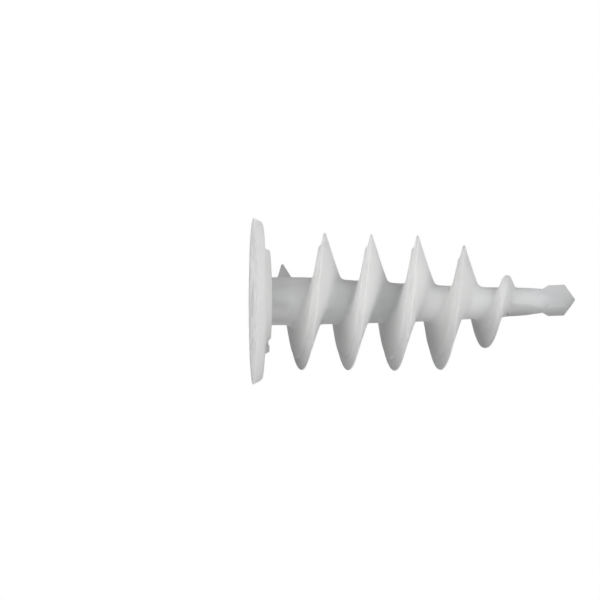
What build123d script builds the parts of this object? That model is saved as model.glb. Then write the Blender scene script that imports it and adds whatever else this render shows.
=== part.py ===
from build123d import *
import os
from math import atan2, cos, degrees, radians, sin, tan

# Insulation plug: a screw-in anchor for soft insulation board, moulded in one piece.
# It has a round flange, a tapered shank with a coarse thread, and a small drill blade.
# The flange's outer face lies on z = 0 and the plug points up, along +Z.
# Angles along the thread are counted from -Y towards -X and rise with the thread.

# Flange, from its outer face to its rear face
flange_radius = 14.15
flange_thickness = 1.6
rim_slope = 0.6
rear_edge_height = 0.45
rear_edge = 0.5

# Net of ribs in the flange's outer face
net_count = 16
net_turn = -0.6
net_depth = 0.45
rim_width = 0.75
rib_width = 0.5
chord_gap = 0.2
ring_gap = 1.2
ring_wave = 0.6

# Cutting collar behind the flange, round a shallow recess, with notches that clear the cut material
collar_height = 1.2
collar_foot_radius = 9.2
collar_top_radius = 8.6
collar_crown = 1.1
collar_recess = 0.2
notch_count = 2
notch_turn = -20.0
notch_floor = 3.1
notch_slope = 2.0
notch_lean = 0.2

# Six-lobe drive recess, with the screw bore behind it
drive_across = 6.75
drive_inner = 4.85
lobe_radius = 0.546
lobe_count = 6
drive_turn = -19.0
drive_depth = 6.0
drive_wall = 0.705
mouth_chamfer = 0.3
bore_radius = 2.0
bore_end = 27.0
bore_point = 1.2

# Shank round the recess, straight and then tapered, and its neck behind the blade
shank_radius = drive_across / 2 + drive_wall
shank_straight_end = 8.4
taper_end = 46.5
taper_end_radius = 2.34
neck_length = 2.7
neck_radius = 2.06
neck_cone = 1.9
neck_cone_radius = 1.15

# Thread: one start, left hand, that fades out below the end of the taper
pitch = 7.914
thread_phase = 10.245
thread_start = -213.0
thread_end_gap = 1.75
crest_radius = 11.62
crest_taper = 0.055
crest_width = 0.46
crest_flat = 0.45
head_flank = 11.7
tip_flank = 16.6
root_height = 0.9
root_depth = 0.75
root_flare = 0.3
fading_turns = 1.66
fading_curve = 0.504
fading_drop = 0.5
faded_crest_width = 1.7
faded_crest_depth = 0.6
longest_lip = 0.3
longest_root = 0.45
section_step = 24.0

# Drill blade and its point
blade_width = 5.26
blade_thickness = 2.5
blade_foot = 0.6
blade_foot_inset = 0.21
shoulder_height = 1.3
blade_straight = 2.5
point_height = 1.8
point_flat = 0.25
bevel_reach = 1.4
bevel_drop = 0.85

# Flats that run back from the blade along the neck
flat_turn = 50.0
flat_depth = 0.38
flat_length = 6.0
flat_lean = 3.4

# Heights and angles that follow from those sizes
collar_top = flange_thickness + collar_height
collar_inner_radius = collar_top_radius - collar_crown
recess_floor = flange_thickness - collar_recess
neck_height = taper_end + neck_length
blade_start = neck_height + shoulder_height
blade_end = blade_start + blade_straight
thread_end = 360 * (taper_end - thread_end_gap - thread_phase) / pitch
fading_start = thread_end - 360 * fading_turns

os.makedirs("parts", exist_ok=True)


def core_radius(height):
    """Radius of the bare shank at a height."""
    stations = [
        (0, shank_radius),
        (shank_straight_end, shank_radius),
        (taper_end, taper_end_radius),
        (neck_height, neck_radius),
    ]
    for (low, low_radius), (high, high_radius) in zip(stations, stations[1:]):
        if height <= high:
            return low_radius + (high_radius - low_radius) * (height - low) / (high - low)
    return neck_radius


def faded(angle):
    """How far the thread has faded, from 0 on its full turns to 1 at its end."""
    return min(1.0, max(0.0, (angle - fading_start) / (thread_end - fading_start)))


def thread_height(angle):
    """Height of the crest at an angle along the thread, which drops back a little as it fades."""
    return thread_phase + pitch * angle / 360 - fading_drop * faded(angle) ** 3


def crest_at(angle):
    """Crest radius at an angle along the thread."""
    full = crest_radius - crest_taper * (angle - thread_start) / 360
    sunk = core_radius(thread_height(angle)) - faded_crest_depth
    return sunk + (full - sunk) * (1 - faded(angle)) ** fading_curve


def tooth_section(angle):
    """The thread's section in the upright plane at an angle."""
    outwards = (-sin(radians(angle)), -cos(radians(angle)), 0)
    upright = Plane(origin=(0, 0, 0), x_dir=outwards, z_dir=(outwards[1], -outwards[0], 0))
    middle = thread_height(angle)
    core = core_radius(middle)
    crest = crest_at(angle)
    base = core - root_depth
    half = (crest_width + (faded_crest_width - crest_width) * faded(angle) ** 2) / 2
    lip = crest - min(half, longest_lip * (crest - base))
    root = min(core + root_height, base + longest_root * (crest - base))
    drop = root - base
    head_tan = tan(radians(head_flank))
    tip_tan = tan(radians(tip_flank))
    head = middle - half - (lip - root) * head_tan
    tip = middle + half + (lip - root) * tip_tan
    head_foot = head - drop - root_flare
    tip_foot = tip + drop + root_flare
    with BuildSketch(upright) as section:
        with BuildLine():
            Polyline(
                (root, head),
                (lip, middle - half),
                (crest, middle - crest_flat * half),
                (crest, middle + crest_flat * half),
                (lip, middle + half),
                (root, tip),
            )
            Bezier((root, tip), (base + drop / 2, tip + drop / 2 * tip_tan), (base, tip_foot))
            Line((base, tip_foot), (base, head_foot))
            Bezier((base, head_foot), (base + drop / 2, head - drop / 2 * head_tan), (root, head))
        make_face()
    return section.sketch.faces()[0]


def lobe_arcs(angle):
    """One lobe of the drive's outline and the hollow after it."""
    half_turn = radians(180 / lobe_count)
    reach = drive_across / 2 - lobe_radius
    inner = drive_inner / 2
    waist = reach * cos(half_turn)
    hollow_radius = (reach**2 + inner**2 - 2 * inner * waist - lobe_radius**2) / (
        2 * lobe_radius - 2 * inner + 2 * waist
    )
    hollow = inner + hollow_radius
    lobe_centre = Vector(reach, 0)
    hollow_centre = Vector(hollow * cos(half_turn), hollow * sin(half_turn))
    joint = lobe_centre + (hollow_centre - lobe_centre).normalized() * lobe_radius
    mirrored = Vector(joint.X, -joint.Y)
    middle = Vector(inner * cos(half_turn), inner * sin(half_turn))
    lobe = [mirrored, Vector(drive_across / 2, 0), joint]
    ThreePointArc(*[point.rotate(Axis.Z, angle) for point in lobe])
    bend = [joint, middle, mirrored.rotate(Axis.Z, 360 / lobe_count)]
    ThreePointArc(*[point.rotate(Axis.Z, angle) for point in bend])


def crossing(first, second):
    """Where two straight edges meet, each given by the direction and length of its distance from the centre."""
    (turn, distance), (next_turn, next_distance) = first, second
    a, b = radians(turn), radians(next_turn)
    x = distance * sin(b) - next_distance * sin(a)
    y = next_distance * cos(a) - distance * cos(b)
    return x / sin(b - a), y / sin(b - a)


def ring_edge(turn):
    """Direction and distance of the ring's straight run, from its peak on a spine to its dip."""
    peak = Vector(ring_radius, 0)
    dip = Vector(ring_radius - ring_wave, 0).rotate(Axis.Z, turn)
    normal = (dip - peak).rotate(Axis.Z, -90).normalized()
    return degrees(atan2(normal.Y, normal.X)), peak.dot(normal)


def net_cell(*edges):
    """One cell of the net, bounded by straight edges in order."""
    Polygon(*[crossing(*pair) for pair in zip(edges, edges[1:] + edges[:1])], align=None)


# The thread, lofted through sections that climb the shank
with BuildPart() as thread:
    section_count = round((thread_end - thread_start) / section_step)
    turn_step = (thread_end - thread_start) / section_count
    loft(sections=[tooth_section(thread_start + turn_step * i) for i in range(section_count + 1)])

# Collar, cut through by its notches
with BuildPart() as collar:
    with BuildSketch(Plane.XZ):
        with BuildLine():
            Polyline(
                (collar_inner_radius, flange_thickness / 2),
                (collar_foot_radius, flange_thickness / 2),
                (collar_foot_radius, flange_thickness),
                (collar_top_radius, collar_top),
                (collar_inner_radius, collar_top),
                close=True,
            )
        make_face()
    revolve(axis=Axis.Z)
    for i in range(notch_count):
        turn = radians(notch_turn + 360 * i / notch_count)
        out = (cos(turn), sin(turn), 0)
        across = (-sin(turn), cos(turn), 0)
        with BuildSketch(Plane(origin=(0, 0, 0), x_dir=across, z_dir=out)):
            with BuildLine():
                Polyline(
                    (-notch_floor / 2, flange_thickness),
                    (notch_floor / 2, flange_thickness),
                    (notch_floor / 2 + notch_lean, collar_top),
                    (-notch_floor / 2 - notch_slope, collar_top),
                    close=True,
                )
            make_face()
        extrude(amount=2 * flange_radius, mode=Mode.SUBTRACT)

# Drill blade: a bevelled bar, cut to the blade's outline
with BuildPart() as blade:
    with BuildSketch(Plane.XY.offset(neck_height - blade_foot)):
        half_width = blade_width / 2
        half_thick = blade_thickness / 2
        with BuildLine():
            Polyline(
                (half_width, -half_thick + bevel_drop),
                (half_width, half_thick),
                (-half_width + bevel_reach, half_thick),
                (-half_width, half_thick - bevel_drop),
                (-half_width, -half_thick),
                (half_width - bevel_reach, -half_thick),
                close=True,
            )
        make_face()
    extrude(amount=blade_end + point_height - neck_height + blade_foot)
    with BuildSketch(Plane.XZ):
        half_foot = neck_radius - blade_foot_inset
        with BuildLine():
            Polyline(
                (-half_foot, neck_height - blade_foot),
                (half_foot, neck_height - blade_foot),
                (half_foot, neck_height),
                (half_width, blade_start),
                (half_width, blade_end),
                (point_flat / 2, blade_end + point_height),
                (-point_flat / 2, blade_end + point_height),
                (-half_width, blade_end),
                (-half_width, blade_start),
                (-half_foot, neck_height),
                close=True,
            )
        make_face()
    extrude(amount=blade_width, both=True, mode=Mode.INTERSECT)

# Net of the face: open cells between long straight chords, a zigzag ring and short spines.
# A chord or a side of the ring is given by the direction and length of its distance from the centre.
with BuildSketch(Plane.XY.rotated((0, 0, net_turn))) as net:
    step = 360 / net_count
    half_rib = rib_width / 2
    net_radius = flange_radius - rim_width
    ring_radius = net_radius - ring_gap
    chord_distance = (net_radius - chord_gap) * cos(radians(3 * step))
    near_side = chord_distance - half_rib
    far_side = chord_distance + half_rib
    ring_turn, ring_distance = ring_edge(step / 2)
    ring_inside = ring_distance - half_rib
    ring_outside = ring_distance + half_rib
    with PolarLocations(0, net_count):
        net_cell(
            (-1.5 * step, far_side),
            (2.5 * step, near_side),
            (-2.5 * step, near_side),
            (1.5 * step, far_side),
        )
        net_cell(
            (-2.5 * step, far_side),
            (ring_turn, ring_inside),
            (-ring_turn, ring_inside),
            (2.5 * step, far_side),
        )
        for side in (1, -1):
            net_cell(
                (side * 90, half_rib),
                (side * ring_turn, ring_outside),
                (side * -2.5 * step, far_side),
                (side * step / 4, flange_radius),
            )
    with PolarLocations(0, net_count, start_angle=step / 2):
        net_cell(
            (-2 * step, far_side),
            (3 * step, near_side),
            (0, ring_radius - ring_wave - half_rib),
            (-3 * step, near_side),
            (2 * step, far_side),
        )
        net_cell(
            (3 * step, near_side),
            (-3 * step, near_side),
            (0, ring_radius - ring_wave + half_rib),
        )
    Circle(net_radius, mode=Mode.INTERSECT)

# The whole plug is one moulding
with BuildPart() as plug:
    with BuildSketch(Plane.XZ):
        rear_radius = flange_radius - rim_slope
        with BuildLine():
            Polyline(
                (0, 0),
                (flange_radius, 0),
                (rear_radius, flange_thickness - rear_edge_height),
                (rear_radius - rear_edge, flange_thickness),
                (collar_inner_radius, flange_thickness),
                (collar_inner_radius, recess_floor),
                (shank_radius, recess_floor),
                (shank_radius, shank_straight_end),
                (taper_end_radius, taper_end),
                (neck_radius, neck_height),
                (neck_cone_radius, neck_height + neck_cone),
                (0, neck_height + neck_cone),
                close=True,
            )
        make_face()
    revolve(axis=Axis.Z)

    # Flats along the neck, one on each side
    for side in (0, 180):
        turn = radians(-90 + flat_turn + side)
        reach = neck_radius - flat_depth
        foot = (reach * cos(turn), reach * sin(turn), neck_height - flat_length)
        out = (cos(turn), sin(turn), -tan(radians(flat_lean)))
        with BuildSketch(Plane(origin=foot, x_dir=(-sin(turn), cos(turn), 0), z_dir=out)):
            Rectangle(2 * shank_radius, flat_length, align=(Align.CENTER, Align.MIN))
        extrude(amount=neck_radius, mode=Mode.SUBTRACT)
    add(thread.part)
    add(collar.part)
    add(blade.part)

    # Drive recess, with a chamfered mouth, and the screw bore behind it
    with BuildSketch(Plane.XY.rotated((0, 0, drive_turn))):
        with BuildLine():
            for i in range(lobe_count):
                lobe_arcs(360 * i / lobe_count)
        make_face()
    extrude(amount=drive_depth, mode=Mode.SUBTRACT)
    chamfer(plug.edges(Select.LAST).group_by(Axis.Z)[0], length=mouth_chamfer)
    with BuildSketch(Plane.XZ):
        with BuildLine():
            Polyline(
                (0, drive_depth),
                (bore_radius, drive_depth),
                (bore_radius, bore_end),
                (0, bore_end + bore_point),
                close=True,
            )
        make_face()
    revolve(axis=Axis.Z, mode=Mode.SUBTRACT)

    # Cells between the ribs of the face
    add(net.sketch)
    extrude(amount=net_depth, mode=Mode.SUBTRACT)

plug.part.label = "plug"
export_step(plug.part, "parts/plug.step")
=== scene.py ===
from math import atan2, cos, degrees, pi, radians, sin, tan

import bmesh
import bpy
import numpy as np
from mathutils import Matrix, Vector
from mathutils.geometry import delaunay_2d_cdt


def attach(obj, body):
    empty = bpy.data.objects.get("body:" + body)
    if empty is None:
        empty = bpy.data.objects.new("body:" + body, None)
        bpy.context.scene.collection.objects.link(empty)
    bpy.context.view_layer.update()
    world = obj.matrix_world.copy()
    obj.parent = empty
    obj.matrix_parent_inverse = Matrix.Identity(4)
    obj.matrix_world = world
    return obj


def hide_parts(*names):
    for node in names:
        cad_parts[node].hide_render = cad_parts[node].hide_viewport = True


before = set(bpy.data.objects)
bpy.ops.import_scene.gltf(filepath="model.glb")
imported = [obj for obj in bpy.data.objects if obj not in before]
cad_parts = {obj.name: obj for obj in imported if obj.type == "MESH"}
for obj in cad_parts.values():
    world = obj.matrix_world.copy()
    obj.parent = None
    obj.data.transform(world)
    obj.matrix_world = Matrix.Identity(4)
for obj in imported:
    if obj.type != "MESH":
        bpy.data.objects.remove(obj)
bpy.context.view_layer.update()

# Lengths are in millimetres until the finished mesh is scaled to metres.
# Angles along the thread are counted from -Y towards -X and rise with the thread.
MILLIMETRE = 0.001
COLUMNS = 192
ARC_POINTS = 4
TINY = 1e-6

# The slight bend that the moulding has taken, in the plane of +X and Z
BEND = 0.28
BEND_START = 12.0
BEND_END = 52.0
TIP_LIFT = 0.25
TIP_LIFT_POWER = 4

# Flange and its net
FLANGE_RADIUS = 14.15
FLANGE_THICKNESS = 1.6
RIM_SLOPE = 0.6
REAR_EDGE_HEIGHT = 0.45
REAR_EDGE = 0.5
RIM_ROUND = 0.12
NET_COUNT = 16
NET_TURN = -0.6
NET_DEPTH = 0.45
RIM_WIDTH = 0.75
RIB_WIDTH = 0.5
CHORD_GAP = 0.2
CHORD_REACH = 3
RING_GAP = 1.2
RING_WAVE = 0.6
CELL_CORNER = 0.55
CELL_CORNER_SHARE = 0.85
CELL_PROFILE_SHARE = 0.9
CORNER_POINTS = 5
INSET_STEP = 0.02
INSET_LIMIT = 2

# Rounded edges, as steps outwards and up from a sharp corner
RIM_FRONT_EDGE = ((-RIM_ROUND, 0), (-0.3 * RIM_ROUND, 0.3 * RIM_ROUND), (-0.02, RIM_ROUND))
RIM_REAR_EDGE = ((0.08, -0.12), (-0.02, 0.08), (-0.16, 0.26), (-0.34, 0.38))
REAR_FACE_EDGE = ((0, -0.01), (-0.2, 0))
COLLAR_FOOT_EDGE = ((0.15, 0), (0, 0.06), (-0.27, 0.55))
RECESS_EDGE = ((0, 0.05), (-0.1, 0))

# The section of a cell's wall, as steps in from its outline and up into the face
CELL_PROFILE = (
    (0, 0),
    (0.02, 0.01),
    (0.055, 0.05),
    (0.09, 0.13),
    (0.13, 0.3),
    (0.18, 0.4),
    (0.26, NET_DEPTH),
)

# Collar and its notches
COLLAR_HEIGHT = 1.2
COLLAR_FOOT_RADIUS = 9.2
COLLAR_TOP_RADIUS = 8.6
COLLAR_CROWN = 1.1
COLLAR_RECESS = 0.2
COLLAR_ROUND = 0.1
COLLAR_SPREAD = 0.02
COLLAR_WALL_ROW = 0.5
NOTCH_COUNT = 2
NOTCH_TURN = -20.0
NOTCH_FLOOR = 3.1
NOTCH_SLOPE = 2.0
NOTCH_LEAN = 0.2
NOTCH_SIDES = (
    -NOTCH_FLOOR / 2 - NOTCH_SLOPE,
    -NOTCH_FLOOR / 2,
    NOTCH_FLOOR / 2,
    NOTCH_FLOOR / 2 + NOTCH_LEAN,
)

# Drive recess and bore
DRIVE_ACROSS = 6.75
DRIVE_INNER = 4.85
LOBE_RADIUS = 0.546
LOBE_COUNT = 6
DRIVE_TURN = -19.0
DRIVE_DEPTH = 6.0
DRIVE_WALL = 0.705
DRIVE_FLOOR_ROUND = 0.12
DRIVE_FLOOR_INSET = 0.1
LOBE_POINTS = 10
HOLLOW_POINTS = 6
MOUTH_CHAMFER = 0.3
CHAMFER_MIDDLE_OUT = 0.5
CHAMFER_MIDDLE_DOWN = 0.4
BORE_RADIUS = 2.0
BORE_EDGE = 0.1
BORE_END = 27.0
BORE_POINT = 1.2

# Shank and neck
SHANK_RADIUS = DRIVE_ACROSS / 2 + DRIVE_WALL
SHANK_STRAIGHT_END = 8.4
SHANK_FILLET = 0.25
SHANK_FOOT = 0.2
TAPER_END = 46.5
TAPER_END_RADIUS = 2.34
NECK_LENGTH = 2.7
NECK_RADIUS = 2.06
NECK_CONE = 1.9
NECK_CONE_RADIUS = 1.15
NECK_RINGS = 9
NECK_HEIGHT = TAPER_END + NECK_LENGTH

# Thread
PITCH = 7.914
THREAD_PHASE = 10.245
THREAD_START = -213.0
THREAD_END_GAP = 1.75
THREAD_MARGIN = 1.5
STRIP_TURNS = range(-2, 6)
CREST_RADIUS = 11.68
CREST_TAPER = 0.055
CREST_WIDTH = 0.38
HEAD_FLANK = 11.7
TIP_FLANK = 16.6
ROOT_HEIGHT = 0.9
ROOT_DEPTH = 0.75
ROOT_FLARE = 0.3
ROOT_BLEND = 0.35
FADING_TURNS = 1.66
FADING_CURVE = 0.504
FADING_DROP = 0.5
FADED_CREST_WIDTH = 1.7
FADED_CREST_DEPTH = 0.6
LONGEST_LIP = 0.3
LONGEST_ROOT = 0.45
LEDGE = 0.32
LEDGE_DEPTH = 2.1
LEDGE_RISE = 0.3
LEDGE_RELEASE = 0.45
LEDGE_GROWTH = 110.0
LEDGE_REACH = 0.9
SHORTEST_REST = 0.05

# How the rows of points are spread, as shares of the root's foot, of half the pitch and of the flank
ROOT_ROWS = 0.85
LOWEST_ROOT_ROW = 0.95
HIGHEST_ROOT_ROW = 0.97
LOWEST_LEDGE_EDGE = 0.3
LOWEST_LEDGE_FOOT = 0.15

# Where the thread starts to fade and where it has gone
THREAD_END = 360 * (TAPER_END - THREAD_END_GAP - THREAD_PHASE) / PITCH
FADING_START = THREAD_END - 360 * FADING_TURNS

# Blade and the flats behind it
BLADE_WIDTH = 5.26
BLADE_THICKNESS = 2.5
BLADE_FOOT = 0.6
BLADE_FOOT_INSET = 0.21
SHOULDER_HEIGHT = 1.3
BLADE_STRAIGHT = 2.5
POINT_HEIGHT = 1.8
POINT_FLAT = 0.25
BEVEL_REACH = 1.4
BEVEL_DROP = 0.85
BLADE_EDGE_ROUND = 0.07
FLAT_TURN = 50.0
FLAT_DEPTH = 0.38
FLAT_LENGTH = 6.0
FLAT_LEAN = 3.4
FLAT_LEAST_FACING = 0.1

# Merging and smoothing, with angles in degrees
BODY_MERGE = 2e-4
BLADE_MERGE = 1e-4
LEVEL_ANGLE = 1
EDGE_ANGLE = 15
SMOOTH_ANGLE = 38

# The photograph's camera. The picture's width and drop and the focal length are in pixels
CAMERA_DISTANCE = 687.3
CAMERA_BELOW = 34.78
CAMERA_TURN = 3.563
CAMERA_ROLL = 0.1
SENSOR_WIDTH = 36
PICTURE_WIDTH = 600
FOCAL_PIXELS = 4058.4
PICTURE_DROP = 1.25

# Floor and lamps
FLOOR_RADIUS = 3000
FLOOR_GAP = 0.1
FLOOR_SEGMENTS = 64
LAMP_ANGLE = 40


class Skin:
    """Points and faces of the piece, gathered part by part."""

    def __init__(self):
        self.points = []
        self.faces = []
        self.count = 0

    def add_points(self, points):
        """Adds points of shape (..., 3) and returns their indices in the same layout."""
        flat = np.asarray(points, float).reshape(-1, 3)
        self.points.append(flat)
        first = self.count
        self.count += len(flat)
        return np.arange(first, self.count).reshape(np.shape(points)[:-1])

    def quads(self, rows, closed=False):
        """Joins neighbouring rows and columns of an index grid with quads."""
        if closed:
            rows = np.concatenate([rows, rows[:, :1]], axis=1)
        corners = (rows[:-1, :-1], rows[:-1, 1:], rows[1:, 1:], rows[1:, :-1])
        self.faces += np.stack([c.ravel() for c in corners], axis=1).tolist()


def circle_points(radius, height, angles):
    """Points at a radius and height for angles along the thread, in degrees."""
    turn = np.radians(angles)
    radius = np.broadcast_to(radius, turn.shape)
    height = np.broadcast_to(height, turn.shape)
    return np.stack([-radius * np.sin(turn), -radius * np.cos(turn), height], axis=-1)


def notch_angles():
    """The directions of the notches' middles, as angles along the thread."""
    return [-90 - NOTCH_TURN - 360 * i / NOTCH_COUNT for i in range(NOTCH_COUNT)]


def column_angles():
    """Angles of all rings' columns, some of them moved onto the thread's start and the notches' corners."""
    angles = np.arange(COLUMNS) * 360 / COLUMNS
    middle = (COLLAR_FOOT_RADIUS + COLLAR_TOP_RADIUS) / 2
    corners = [THREAD_START]
    for notch in notch_angles():
        corners += [notch - degrees(np.arcsin(side / middle)) for side in NOTCH_SIDES]
    for corner in corners:
        away = (angles - corner + 180) % 360 - 180
        angles[np.argmin(np.abs(away))] = corner % 360
    return angles


# Shank and thread

def core_radius(height):
    """Radius of the bare round shank at a height."""
    stations = (0, SHANK_STRAIGHT_END, TAPER_END, NECK_HEIGHT)
    return np.interp(height, stations, (SHANK_RADIUS, SHANK_RADIUS, TAPER_END_RADIUS, NECK_RADIUS))


def flattened_radius(angle, height):
    """Radius of the shank with its flats."""
    radius = core_radius(height)
    start = NECK_HEIGHT - FLAT_LENGTH
    reach = NECK_RADIUS - FLAT_DEPTH + (height - start) * tan(radians(FLAT_LEAN))
    for side in (0, 180):
        facing = np.cos(np.radians(angle + FLAT_TURN + side))
        flat = reach / np.maximum(facing, FLAT_LEAST_FACING)
        flat = np.where((facing > FLAT_LEAST_FACING) & (height > start), flat, np.inf)
        radius = np.minimum(radius, flat)
    return radius


def faded(angle):
    """How far the thread has faded, from 0 on its full turns to 1 at its end."""
    return np.clip((angle - FADING_START) / (THREAD_END - FADING_START), 0, 1)


def thread_height(angle):
    """Height of the crest, which drops back a little as the thread fades."""
    return THREAD_PHASE + PITCH * angle / 360 - FADING_DROP * faded(angle) ** 3


def tooth_sizes(angle):
    """The measures of the tooth's section at an angle along the thread."""
    core = core_radius(thread_height(angle))
    base = core - ROOT_DEPTH
    full = CREST_RADIUS - CREST_TAPER * (angle - THREAD_START) / 360
    sunk = core - FADED_CREST_DEPTH
    crest = sunk + (full - sunk) * (1 - faded(angle)) ** FADING_CURVE
    half = (CREST_WIDTH + (FADED_CREST_WIDTH - CREST_WIDTH) * faded(angle) ** 2) / 2
    lip_drop = np.minimum(half, LONGEST_LIP * (crest - base))
    root = np.minimum(core + ROOT_HEIGHT, base + LONGEST_ROOT * (crest - base))
    return base, crest, half, lip_drop, root


def ledge_sizes(angle):
    """How far the head-side flank steps out at its ledge, and how far it draws in from there to the root."""
    share = np.clip((angle - THREAD_START) / LEDGE_GROWTH, 0, 1) * (1 - faded(angle))
    behind = np.maximum(-np.cos(np.radians(angle)), 0)
    front = np.clip(1 - (behind / LEDGE_REACH) ** 2, 0, 1)
    return LEDGE * share * front, LEDGE_RELEASE * share


def tooth_radius(angle, offset):
    """Radius of the tooth's surface at a height above or below its crest line."""
    base, crest, half, lip_drop, root = tooth_sizes(angle)
    lean = np.where(offset < 0, tan(radians(HEAD_FLANK)), tan(radians(TIP_FLANK)))
    away = np.abs(offset)
    lip = crest - lip_drop
    ledge, release = [np.where(offset < 0, size, 0) for size in ledge_sizes(angle)]
    ledge_start = half + (LEDGE_DEPTH - LEDGE_RISE / 2 - lip_drop) * lean
    ledge_end = ledge_start + LEDGE_RISE * lean
    rest = np.maximum(half + (lip - root) * lean - ledge_end - release, SHORTEST_REST)
    stepped = np.clip((away - ledge_start) / (ledge + LEDGE_RISE * lean), 0, 1)
    released = np.clip((away - ledge_end - ledge) / rest, 0, 1)
    away = away - ledge * stepped + release * released
    cap = crest - lip_drop * (1 - np.sqrt(np.clip(1 - (away / half) ** 2, 0, 1)))
    flank = lip - (away - half) / lean
    drop = np.maximum(root - base, TINY)
    past = np.maximum(away - half - (lip - root) * lean, 0)
    # The root's curve has squared * share**2 + linear * share = past
    squared = drop * (1 - lean) + ROOT_FLARE
    linear = drop * lean
    share = (np.sqrt(linear**2 + 4 * squared * past) - linear) / (2 * squared)
    return np.where(away < half, cap, np.where(flank > root, flank, base + drop * (1 - share)))


def row_offsets(angle):
    """Heights of the rows over one pitch, dense at the crest and at the roots of the tooth."""
    angle = np.clip(angle, THREAD_START, THREAD_END)
    base, crest, half, lip_drop, root = tooth_sizes(angle)
    reach = crest - lip_drop - root
    shift = thread_height(angle) - (THREAD_PHASE + PITCH * angle / 360)
    limit = PITCH / 2
    foot = root - base + ROOT_FLARE
    ledge, release = ledge_sizes(angle)
    flank = reach * tan(radians(HEAD_FLANK)) + ledge - release
    head_root = shift - half - flank
    ledge_edge = shift - half - (LEDGE_DEPTH - LEDGE_RISE / 2 - lip_drop) * tan(radians(HEAD_FLANK))
    ledge_edge = np.maximum(ledge_edge, head_root + flank * LOWEST_LEDGE_EDGE)
    ledge_foot = ledge_edge - ledge - LEDGE_RISE * tan(radians(HEAD_FLANK))
    ledge_foot = np.maximum(ledge_foot, head_root + flank * LOWEST_LEDGE_FOOT)
    tip_root = shift + half + reach * tan(radians(TIP_FLANK))
    # Each station comes with the number of rows from there to the next
    stations = [
        (np.full_like(angle, -limit), 4),
        (np.maximum(head_root - foot * ROOT_ROWS, -limit * LOWEST_ROOT_ROW), 9),
        (head_root, 4),
        (ledge_foot, 3),
        (ledge_edge, 3),
        (shift - half, 6),
        (shift + half, 6),
        (tip_root, 9),
        (np.minimum(tip_root + foot * ROOT_ROWS, limit * HIGHEST_ROOT_ROW), 4),
        (np.full_like(angle, limit), 1),
    ]
    rows = []
    for (low, count), (high, _) in zip(stations, stations[1:]):
        rows += [low + (high - low) * k / count for k in range(count)]
    return np.array(rows + [stations[-1][0]])


def smooth_maximum(first, second, width):
    """The larger of two values, with a rounded change from one to the other."""
    near = np.maximum(width - np.abs(first - second), 0) / width
    return np.maximum(first, second) + near**2 * width / 4


def shank_radius_at(angle, height, threaded):
    """Radius of the shank with its thread."""
    bare = flattened_radius(angle, height)
    held = np.clip(angle, THREAD_START, THREAD_END)
    tooth = tooth_radius(held, height - thread_height(held))
    return np.where(threaded, smooth_maximum(bare, tooth, ROOT_BLEND), bare)


def add_threaded_shank(skin, angles, low, high):
    """One long strip that winds up the shank with the thread, cut off level at both ends."""
    along = np.concatenate([angles + 360 * k for k in STRIP_TURNS])
    start = np.argmin(np.abs(along - THREAD_START))
    along = np.insert(along, start, along[start])
    threaded = (np.arange(len(along)) > start) & (along < THREAD_END)
    offsets = row_offsets(along)
    height = np.clip(THREAD_PHASE + PITCH * along / 360 + offsets, low, high)
    angle = np.broadcast_to(along, height.shape)
    radius = shank_radius_at(angle, height, np.broadcast_to(threaded, height.shape))
    for seam in (0, -1):
        radius[seam] = flattened_radius(angle[seam], height[seam])
    skin.quads(skin.add_points(circle_points(radius, height, angle)))


def add_rings(skin, angles, rings):
    """Rings of points, each given by a radius and a height for every column."""
    grid = np.array([circle_points(radius, height, angles) for radius, height in rings])
    skin.quads(skin.add_points(grid), closed=True)


# Flange, collar and neck

def notch_ceiling(radius, angles):
    """Height that a notch leaves of the collar, for every column."""
    top = FLANGE_THICKNESS + COLLAR_HEIGHT
    ceiling = np.full(len(angles), top)
    for notch in notch_angles():
        turn = np.radians(notch - angles)
        across = radius * np.sin(turn)
        cut = np.interp(across, NOTCH_SIDES, (top, FLANGE_THICKNESS, FLANGE_THICKNESS, top))
        ceiling = np.where(np.cos(turn) > 0, np.minimum(ceiling, cut), ceiling)
    return ceiling


def edge_at(radius, height, steps):
    """Points of a profile, given as steps outwards and up from a place."""
    return [(radius + out, height + up) for out, up in steps]


def arc_profile(centre, radius, start, end):
    """Points of a profile's arc, from one angle to another in degrees."""
    return [
        (centre[0] + radius * cos(radians(a)), centre[1] + radius * sin(radians(a)))
        for a in np.linspace(start, end, ARC_POINTS)
    ]


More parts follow.
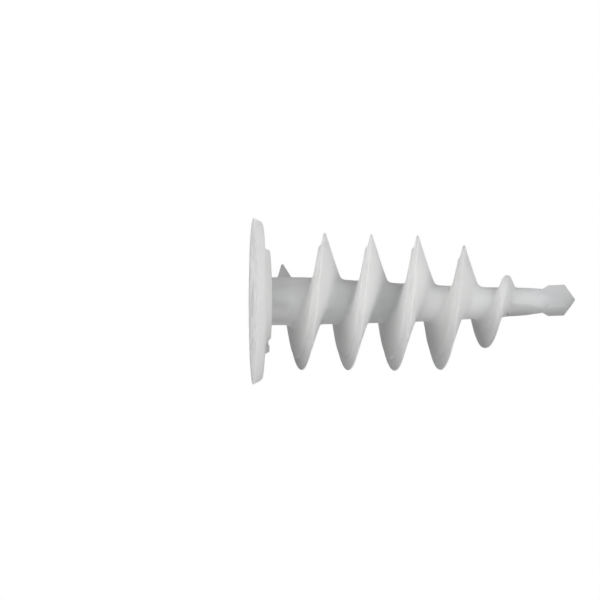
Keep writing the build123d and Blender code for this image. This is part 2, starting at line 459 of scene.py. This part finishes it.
def add_flange(skin, angles, shank_low):
    """The rim, the rear face, the collar with its notches and the foot of the shank."""
    rear_radius = FLANGE_RADIUS - RIM_SLOPE
    rear_start = FLANGE_THICKNESS - REAR_EDGE_HEIGHT
    top = FLANGE_THICKNESS + COLLAR_HEIGHT
    inner = COLLAR_TOP_RADIUS - COLLAR_CROWN
    floor = FLANGE_THICKNESS - COLLAR_RECESS
    crown = top - COLLAR_ROUND
    outer_round = (COLLAR_TOP_RADIUS - COLLAR_ROUND + COLLAR_SPREAD, crown)
    inner_round = (inner + COLLAR_ROUND, crown)
    shank_round = (SHANK_RADIUS + SHANK_FILLET, floor + SHANK_FILLET)
    rim = edge_at(FLANGE_RADIUS, 0, RIM_FRONT_EDGE)
    rim += edge_at(rear_radius, rear_start, RIM_REAR_EDGE)
    rim += edge_at(rear_radius - REAR_EDGE, FLANGE_THICKNESS, REAR_FACE_EDGE)
    collar = edge_at(COLLAR_FOOT_RADIUS, FLANGE_THICKNESS, COLLAR_FOOT_EDGE)
    collar += arc_profile(outer_round, COLLAR_ROUND, start=20, end=90)
    collar += [((COLLAR_TOP_RADIUS + inner) / 2, top)]
    collar += arc_profile(inner_round, COLLAR_ROUND, start=90, end=180)
    collar += [(inner, FLANGE_THICKNESS + COLLAR_WALL_ROW)]
    collar += edge_at(inner, floor, RECESS_EDGE)
    foot = [(SHANK_RADIUS + SHANK_FILLET, floor)]
    foot += arc_profile(shank_round, SHANK_FILLET, start=255, end=180)
    foot += [(SHANK_RADIUS, shank_low)]
    rings = [(np.full(COLUMNS, r), np.full(COLUMNS, z)) for r, z in rim]
    rings += [(np.full(COLUMNS, r), np.minimum(z, notch_ceiling(r, angles))) for r, z in collar]
    rings += [(np.full(COLUMNS, r), np.full(COLUMNS, z)) for r, z in foot]
    add_rings(skin, angles, rings)


def add_neck(skin, angles, shank_high):
    """The neck above the thread, and the cone that closes it inside the blade."""
    heights = np.linspace(shank_high, NECK_HEIGHT, NECK_RINGS)
    rings = [(flattened_radius(angles, np.full(COLUMNS, z)), np.full(COLUMNS, z)) for z in heights]
    rings.append((np.full(COLUMNS, NECK_CONE_RADIUS), np.full(COLUMNS, NECK_HEIGHT + NECK_CONE)))
    rings.append((np.zeros(COLUMNS), np.full(COLUMNS, NECK_HEIGHT + NECK_CONE)))
    add_rings(skin, angles, rings)


# Face with its net, recess and bore

def crossing(first, second):
    """Where two straight edges meet, each given by its direction and its distance from the centre."""
    a, b = radians(first[0]), radians(second[0])
    x = first[1] * sin(b) - second[1] * sin(a)
    y = second[1] * cos(a) - first[1] * cos(b)
    return np.array([x, y]) / sin(b - a)


def outward_edges(edges):
    """The same edges with their directions pointing out of the cell."""
    corners = [crossing(e, f) for e, f in zip(edges, edges[1:] + edges[:1])]
    middle = np.mean(corners, axis=0)
    turned = []
    for turn, distance in edges:
        normal = np.array([cos(radians(turn)), sin(radians(turn))])
        side = 1 if normal @ middle < distance else -1
        turned.append((turn + (0 if side > 0 else 180), distance * side))
    return turned


def corners_of(edges, inset):
    """Corners of the cell with its edges moved in."""
    moved = [(turn, distance - inset) for turn, distance in edges]
    return np.array([crossing(e, f) for e, f in zip(moved, moved[1:] + moved[:1])])


def deepest_inset(edges):
    """How far the cell's sides can move in before one of them vanishes."""
    corners = corners_of(edges, 0)
    sides = np.roll(corners, -1, axis=0) - corners
    inset = 0.0
    while inset < INSET_LIMIT:
        corners = corners_of(edges, inset + INSET_STEP)
        moved = np.roll(corners, -1, axis=0) - corners
        if (moved * sides).sum(axis=1).min() <= 0:
            break
        inset += INSET_STEP
    return inset


def cell_loop(edges, inset, corner):
    """The cell's outline moved in, with round corners."""
    kernel = corners_of(edges, corner)
    loop = []
    for point, (turn, _), (next_turn, _) in zip(kernel, edges, edges[1:] + edges[:1]):
        sweep = (next_turn - turn + 180) % 360 - 180
        for share in np.linspace(0, 1, CORNER_POINTS):
            direction = radians(turn + sweep * share)
            loop.append(point + (corner - inset) * np.array([cos(direction), sin(direction)]))
    return np.array(loop)


def net_cells():
    """All cells between the spines, the long chords and the zigzag ring, each as a list of its edges."""
    step = 360 / NET_COUNT
    half_rib = RIB_WIDTH / 2
    net_radius = FLANGE_RADIUS - RIM_WIDTH
    ring_radius = net_radius - RING_GAP
    dip_radius = ring_radius - RING_WAVE
    chord = (net_radius - CHORD_GAP) * cos(radians(CHORD_REACH * step))
    near, far = chord - half_rib, chord + half_rib
    peak = np.array([ring_radius, 0])
    dip = dip_radius * np.array([cos(radians(step / 2)), sin(radians(step / 2))])
    normal = np.array([(dip - peak)[1], -(dip - peak)[0]]) / np.linalg.norm(dip - peak)
    ring_turn, ring_distance = degrees(atan2(normal[1], normal[0])), peak @ normal
    inside, outside = ring_distance - half_rib, ring_distance + half_rib
    spine_cells = [
        [(-1.5 * step, far), (2.5 * step, near), (-2.5 * step, near), (1.5 * step, far)],
        [(-2.5 * step, far), (ring_turn, inside), (-ring_turn, inside), (2.5 * step, far)],
    ]
    for side in (1, -1):
        spine_cells.append([
            (side * 90, half_rib),
            (side * ring_turn, outside),
            (side * -2.5 * step, far),
            (side * step / 4, net_radius),
        ])
    gap_cells = [
        [
            (-2 * step, far),
            (3 * step, near),
            (0, dip_radius - half_rib),
            (-3 * step, near),
            (2 * step, far),
        ],
        [(3 * step, near), (-3 * step, near), (0, dip_radius + half_rib)],
    ]
    cells = []
    for i in range(NET_COUNT):
        for start, group in ((step * i, spine_cells), (step * (i + 0.5), gap_cells)):
            cells += [[(turn + start + NET_TURN, distance) for turn, distance in cell] for cell in group]
    return cells


def drive_outline(grow):
    """The six-lobe outline, grown outwards, with the same points for every size."""
    half_turn = radians(180 / LOBE_COUNT)
    reach = DRIVE_ACROSS / 2 - LOBE_RADIUS
    inner = DRIVE_INNER / 2
    waist = reach * cos(half_turn)
    hollow = reach**2 + inner**2 - 2 * inner * waist - LOBE_RADIUS**2
    hollow /= 2 * LOBE_RADIUS - 2 * inner + 2 * waist
    centre = (inner + hollow) * np.array([cos(half_turn), sin(half_turn)])
    lean = atan2(centre[1], centre[0] - reach)
    points = []
    for i in range(LOBE_COUNT):
        turn = radians(DRIVE_TURN + 360 * i / LOBE_COUNT)
        for a in np.linspace(-lean, lean, LOBE_POINTS):
            points.append((turn, reach + (LOBE_RADIUS + grow) * cos(a), (LOBE_RADIUS + grow) * sin(a)))
        first_half = np.linspace(lean + pi, half_turn + pi, HOLLOW_POINTS)[1:]
        second_half = np.linspace(half_turn + pi, 2 * half_turn + pi - lean, HOLLOW_POINTS)[1:-1]
        for a in (*first_half, *second_half):
            points.append((turn, centre[0] + (hollow - grow) * cos(a), centre[1] + (hollow - grow) * sin(a)))
    return np.array([(x * cos(t) - y * sin(t), x * sin(t) + y * cos(t)) for t, x, y in points])


def with_height(outline, height):
    """The points of a flat outline, set at a height."""
    return np.concatenate([outline, np.full((len(outline), 1), height)], axis=1)


def add_recess(skin):
    """The drive recess and the bore behind it. Returns the outline of the recess in the face."""
    outline = drive_outline(0)
    direction = outline / np.linalg.norm(outline, axis=1)[:, None]
    walls = [
        with_height(drive_outline(MOUTH_CHAMFER), 0),
        with_height(drive_outline(MOUTH_CHAMFER * CHAMFER_MIDDLE_OUT), MOUTH_CHAMFER * CHAMFER_MIDDLE_DOWN),
        with_height(outline, MOUTH_CHAMFER),
        with_height(outline, DRIVE_DEPTH - DRIVE_FLOOR_ROUND),
        with_height(drive_outline(-DRIVE_FLOOR_INSET), DRIVE_DEPTH),
        with_height(direction * (BORE_RADIUS + BORE_EDGE), DRIVE_DEPTH),
        with_height(direction * BORE_RADIUS, DRIVE_DEPTH + BORE_EDGE),
        with_height(direction * BORE_RADIUS, BORE_END),
        with_height(direction * 0, BORE_END + BORE_POINT),
    ]
    skin.quads(skin.add_points(np.array(walls)), closed=True)
    return walls[0][:, :2]


def add_cells(skin):
    """The net's cells, each with rounded shoulders and floor. Returns their outlines in the face."""
    widest = CELL_PROFILE[-1][0]
    outlines = []
    for cell in net_cells():
        edges = outward_edges(cell)
        corner = min(CELL_CORNER, CELL_CORNER_SHARE * deepest_inset(edges))
        squeeze = min(1.0, CELL_PROFILE_SHARE * corner / widest)
        loops = [
            with_height(cell_loop(edges, inset * squeeze, corner), depth)
            for inset, depth in CELL_PROFILE
        ]
        rows = skin.add_points(np.array(loops))
        skin.quads(rows, closed=True)
        skin.faces.append(rows[-1].tolist())
        outlines.append(loops[0][:, :2])
    return outlines


def inside_outline(points, outline):
    """Which points lie inside a closed outline."""
    x, y = points[:, 0], points[:, 1]
    odd = np.zeros(len(points), bool)
    for (x0, y0), (x1, y1) in zip(outline, np.roll(outline, -1, axis=0)):
        spans = (y0 > y) != (y1 > y)
        if y0 != y1:
            odd ^= spans & (x < x0 + (y - y0) * (x1 - x0) / (y1 - y0))
    return odd


def add_face(skin, angles):
    """The flat of the outer face, between its rim, the net's cells and the recess."""
    holes = [add_recess(skin)] + add_cells(skin)
    rim = circle_points(FLANGE_RADIUS - RIM_ROUND, 0, angles)[:, :2]
    loops = [rim] + holes
    flat = np.concatenate(loops)
    edges = []
    first = 0
    for loop in loops:
        ring = list(range(first, first + len(loop)))
        edges += list(zip(ring, ring[1:] + ring[:1]))
        first += len(loop)
    made = delaunay_2d_cdt([Vector(p) for p in flat], edges, [], 0, TINY)
    points, triangles = np.array([tuple(p) for p in made[0]]), np.array(made[2])
    middles = points[triangles].mean(axis=1)
    keep = inside_outline(middles, rim)
    for hole in holes:
        keep &= ~inside_outline(middles, hole)
    index = skin.add_points(with_height(points, 0))
    skin.faces += index[triangles[keep]].tolist()


# Blade

def blade_mesh():
    """The bevelled blade as its own closed mesh."""
    half_width, half_thick = BLADE_WIDTH / 2, BLADE_THICKNESS / 2
    bevel_start = half_width - BEVEL_REACH
    blade_start = NECK_HEIGHT + SHOULDER_HEIGHT
    blade_end = blade_start + BLADE_STRAIGHT
    half_foot = NECK_RADIUS - BLADE_FOOT_INSET
    bevel_end = blade_end + POINT_HEIGHT * BEVEL_REACH / (half_width - POINT_FLAT / 2)
    levels = [
        (NECK_HEIGHT - BLADE_FOOT, half_foot),
        (NECK_HEIGHT, half_foot),
        (blade_start, half_width),
        (blade_end, half_width),
        (bevel_end, bevel_start),
        (blade_end + POINT_HEIGHT, POINT_FLAT / 2),
    ]
    mesh = bmesh.new()
    rings = []
    for z, wide in levels:
        bevelled = max(wide - bevel_start, 0) * BEVEL_DROP / BEVEL_REACH
        inner = min(bevel_start, wide)
        section = [(wide, bevelled - half_thick), (wide, half_thick), (-inner, half_thick)]
        section += [(-x, -y) for x, y in section]
        rings.append([mesh.verts.new((x, y, z)) for x, y in section])
    for low, high in zip(rings, rings[1:]):
        for k in range(len(low)):
            following = (k + 1) % len(low)
            mesh.faces.new((low[k], low[following], high[following], high[k]))
    mesh.faces.new(rings[0][::-1])
    mesh.faces.new(rings[-1])
    bmesh.ops.remove_doubles(mesh, verts=mesh.verts, dist=BLADE_MERGE)
    bmesh.ops.dissolve_limit(mesh, angle_limit=radians(LEVEL_ANGLE), verts=mesh.verts, edges=mesh.edges)
    sharp = [e for e in mesh.edges if e.is_manifold and e.calc_face_angle(0) > radians(EDGE_ANGLE)]
    bmesh.ops.bevel(
        mesh,
        geom=sharp,
        offset=BLADE_EDGE_ROUND,
        segments=2,
        profile=0.5,
        affect="EDGES",
        clamp_overlap=True,
    )
    bmesh.ops.recalc_face_normals(mesh, faces=mesh.faces)
    return mesh


def bend(mesh):
    """Bows the shank a little towards +X and lifts the tip towards -X."""
    for vert in mesh.verts:
        share = (vert.co.z - BEND_START) / (BEND_END - BEND_START)
        if share > 0:
            vert.co.x += BEND * sin(pi * min(share, 1)) - TIP_LIFT * share**TIP_LIFT_POWER


def as_object(mesh, name):
    """A Blender object in metres, bowed as the moulding is, from a straight mesh in millimetres."""
    bend(mesh)
    bmesh.ops.scale(mesh, vec=(MILLIMETRE,) * 3, verts=mesh.verts)
    data = bpy.data.meshes.new(name)
    mesh.to_mesh(data)
    mesh.free()
    made = bpy.data.objects.new(name, data)
    bpy.context.scene.collection.objects.link(made)
    return made


def body_mesh():
    """Everything but the blade, as one closed mesh."""
    skin = Skin()
    angles = column_angles()
    shank_low = FLANGE_THICKNESS + SHANK_FILLET + SHANK_FOOT
    shank_high = TAPER_END + THREAD_MARGIN
    add_face(skin, angles)
    add_flange(skin, angles, shank_low)
    add_threaded_shank(skin, angles, shank_low, shank_high)
    add_neck(skin, angles, shank_high)
    data = bpy.data.meshes.new("raw")
    data.from_pydata(np.concatenate(skin.points).tolist(), [], skin.faces)
    mesh = bmesh.new()
    mesh.from_mesh(data)
    bpy.data.meshes.remove(data)
    bmesh.ops.remove_doubles(mesh, verts=mesh.verts, dist=BODY_MERGE)
    bmesh.ops.recalc_face_normals(mesh, faces=mesh.faces)
    return mesh


def make_plug():
    """The whole plug as one mesh, in metres."""
    plug = as_object(body_mesh(), "plug_body")
    blade = as_object(blade_mesh(), "blade")
    union = plug.modifiers.new("union", "BOOLEAN")
    union.operation = "UNION"
    union.solver = "EXACT"
    union.object = blade
    joined = bpy.data.meshes.new_from_object(plug.evaluated_get(bpy.context.evaluated_depsgraph_get()))
    plug.modifiers.clear()
    plug.data = joined
    bpy.data.objects.remove(blade)
    joined.shade_smooth()
    joined.set_sharp_from_angle(angle=radians(SMOOTH_ANGLE))
    return plug


def make_camera():
    """The camera of the photograph, which sees the standing plug from the side with its tip to the right."""
    look_turn = radians(CAMERA_TURN)
    roll = radians(CAMERA_ROLL)
    data = bpy.data.cameras.new("camera")
    data.sensor_width = SENSOR_WIDTH
    data.lens = SENSOR_WIDTH * FOCAL_PIXELS / PICTURE_WIDTH
    data.shift_y = PICTURE_DROP / PICTURE_WIDTH
    data.clip_start = 0.01
    data.clip_end = 50
    ahead = Vector((0, cos(look_turn), sin(look_turn)))
    right = Vector((0, -sin(look_turn), cos(look_turn)))
    up = Vector((-1, 0, 0))
    rolled_right = right * cos(roll) + up * sin(roll)
    rolled_up = up * cos(roll) - right * sin(roll)
    camera = bpy.data.objects.new("camera", data)
    bpy.context.scene.collection.objects.link(camera)
    placed = Matrix((rolled_right, rolled_up, -ahead)).transposed().to_4x4()
    placed.translation = Vector((0, -CAMERA_DISTANCE, -CAMERA_BELOW)) * MILLIMETRE
    camera.matrix_world = placed
    bpy.context.scene.camera = camera


def nylon():
    """Whitish nylon that lets light in deeply, with faint clouding and a fine moulded grain."""
    material = bpy.data.materials.new("nylon")
    material.use_nodes = True
    nodes, links = material.node_tree.nodes, material.node_tree.links
    shader = nodes["Principled BSDF"]
    shader.inputs["IOR"].default_value = 1.5
    shader.inputs["Specular IOR Level"].default_value = 0.15
    shader.inputs["Subsurface Weight"].default_value = 1
    shader.inputs["Subsurface Radius"].default_value = (1, 0.98, 0.95)
    shader.inputs["Subsurface Scale"].default_value = 20 * MILLIMETRE
    shader.inputs["Subsurface Anisotropy"].default_value = 0.6
    place = nodes.new("ShaderNodeTexCoord")
    clouds = nodes.new("ShaderNodeTexNoise")
    clouds.inputs["Scale"].default_value = 0.25 / MILLIMETRE
    clouds.inputs["Detail"].default_value = 3
    links.new(place.outputs["Object"], clouds.inputs["Vector"])
    colour = nodes.new("ShaderNodeMix")
    colour.data_type = "RGBA"
    colour.inputs["A"].default_value = (0.8, 0.8, 0.79, 1)
    colour.inputs["B"].default_value = (0.84, 0.84, 0.83, 1)
    links.new(clouds.outputs["Fac"], colour.inputs["Factor"])
    links.new(colour.outputs["Result"], shader.inputs["Base Color"])
    gloss = nodes.new("ShaderNodeMapRange")
    gloss.inputs["To Min"].default_value = 0.45
    gloss.inputs["To Max"].default_value = 0.6
    links.new(clouds.outputs["Fac"], gloss.inputs["Value"])
    links.new(gloss.outputs["Result"], shader.inputs["Roughness"])
    grain = nodes.new("ShaderNodeTexNoise")
    grain.inputs["Scale"].default_value = 4 / MILLIMETRE
    grain.inputs["Detail"].default_value = 4
    links.new(place.outputs["Object"], grain.inputs["Vector"])
    bump = nodes.new("ShaderNodeBump")
    bump.inputs["Strength"].default_value = 0.12
    bump.inputs["Distance"].default_value = 0.02 * MILLIMETRE
    links.new(grain.outputs["Fac"], bump.inputs["Height"])
    links.new(bump.outputs["Normal"], shader.inputs["Normal"])
    return material


def add_math(nodes, operation):
    """A maths node for one operation."""
    node = nodes.new("ShaderNodeMath")
    node.operation = operation
    return node


def add_seen(nodes, links):
    """1 for what the camera, a reflection or a view through the plug shows, and 0 for light on the plug."""
    path = nodes.new("ShaderNodeLightPath")
    mirrored = add_math(nodes, "MAXIMUM")
    seen = add_math(nodes, "MAXIMUM")
    links.new(path.outputs["Is Glossy Ray"], mirrored.inputs[0])
    links.new(path.outputs["Is Transmission Ray"], mirrored.inputs[1])
    links.new(path.outputs["Is Camera Ray"], seen.inputs[0])
    links.new(mirrored.outputs[0], seen.inputs[1])
    return seen


def floor_material():
    """White with the plug's shadow where it is seen from above, and clear to light on the plug."""
    material = bpy.data.materials.new("floor")
    material.use_nodes = True
    nodes, links = material.node_tree.nodes, material.node_tree.links
    nodes.clear()
    output = nodes.new("ShaderNodeOutputMaterial")
    mix = nodes.new("ShaderNodeMixShader")
    clear = nodes.new("ShaderNodeBsdfTransparent")
    matte = nodes.new("ShaderNodeBsdfDiffuse")
    matte.inputs["Color"].default_value = (0.9, 0.9, 0.9, 1)
    glow = nodes.new("ShaderNodeEmission")
    glow.inputs["Strength"].default_value = 0.75
    white = nodes.new("ShaderNodeAddShader")
    geometry = nodes.new("ShaderNodeNewGeometry")
    seen = add_seen(nodes, links)
    above = add_math(nodes, "SUBTRACT")
    above.inputs[0].default_value = 1
    shown = add_math(nodes, "MULTIPLY")
    links.new(geometry.outputs["Backfacing"], above.inputs[1])
    links.new(seen.outputs[0], shown.inputs[0])
    links.new(above.outputs[0], shown.inputs[1])
    links.new(shown.outputs[0], mix.inputs["Fac"])
    links.new(matte.outputs[0], white.inputs[0])
    links.new(glow.outputs[0], white.inputs[1])
    links.new(clear.outputs[0], mix.inputs[1])
    links.new(white.outputs[0], mix.inputs[2])
    links.new(mix.outputs[0], output.inputs["Surface"])
    return material


def make_floor():
    """A round floor just below the plug, wide enough to fill every view from above."""
    mesh = bmesh.new()
    bmesh.ops.create_circle(mesh, cap_ends=True, radius=FLOOR_RADIUS * MILLIMETRE, segments=FLOOR_SEGMENTS)
    data = bpy.data.meshes.new("floor")
    mesh.to_mesh(data)
    mesh.free()
    data.materials.append(floor_material())
    floor = bpy.data.objects.new("floor", data)
    floor.location.z = -FLOOR_GAP * MILLIMETRE
    bpy.context.scene.collection.objects.link(floor)


def make_lamp(name, towards, strength):
    """A wide, soft lamp far away in the given direction."""
    data = bpy.data.lights.new(name, "SUN")
    data.angle = radians(LAMP_ANGLE)
    data.energy = strength
    lamp = bpy.data.objects.new(name, data)
    bpy.context.scene.collection.objects.link(lamp)
    lamp.rotation_euler = (-Vector(towards)).to_track_quat("-Z", "Y").to_euler()


def make_lamps():
    """Lamps round the plug, in the photograph's view mostly from above, from the front and from its head."""
    make_lamp("above_tip_side", (-1, -1, 1), 1.4)
    make_lamp("above_head_side", (-1, -1, -1), 0.6)
    make_lamp("front", (0, -1, 0), 1.8)
    make_lamp("front_below", (1, -1, 0), 0.2)
    make_lamp("front_head_side", (0, -0.6, -1), 0.6)
    make_lamp("head_end", (0, 0, -1), 0.9)
    make_lamp("rear_above", (-1, 1, -1), 0.5)
    make_lamp("rear_below", (1, 1, 0), 0.4)


def make_world():
    """Faint even light, and a white background for the camera, reflections and views through the plug."""
    world = bpy.data.worlds.new("world")
    bpy.context.scene.world = world
    world.use_nodes = True
    nodes, links = world.node_tree.nodes, world.node_tree.links
    nodes.clear()
    output = nodes.new("ShaderNodeOutputWorld")
    mix = nodes.new("ShaderNodeMixShader")
    studio = nodes.new("ShaderNodeBackground")
    studio.inputs["Color"].default_value = (1, 1, 1, 1)
    studio.inputs["Strength"].default_value = 0.04
    white = nodes.new("ShaderNodeBackground")
    white.inputs["Color"].default_value = (1, 1, 1, 1)
    links.new(add_seen(nodes, links).outputs[0], mix.inputs["Fac"])
    links.new(studio.outputs[0], mix.inputs[1])
    links.new(white.outputs[0], mix.inputs[2])
    links.new(mix.outputs[0], output.inputs["Surface"])


make_camera()
plug = make_plug()
plug.data.materials.append(nylon())
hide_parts("plug")
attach(plug, "root")
make_floor()
make_lamps()
make_world()
bpy.context.scene.view_settings.view_transform = "Standard"
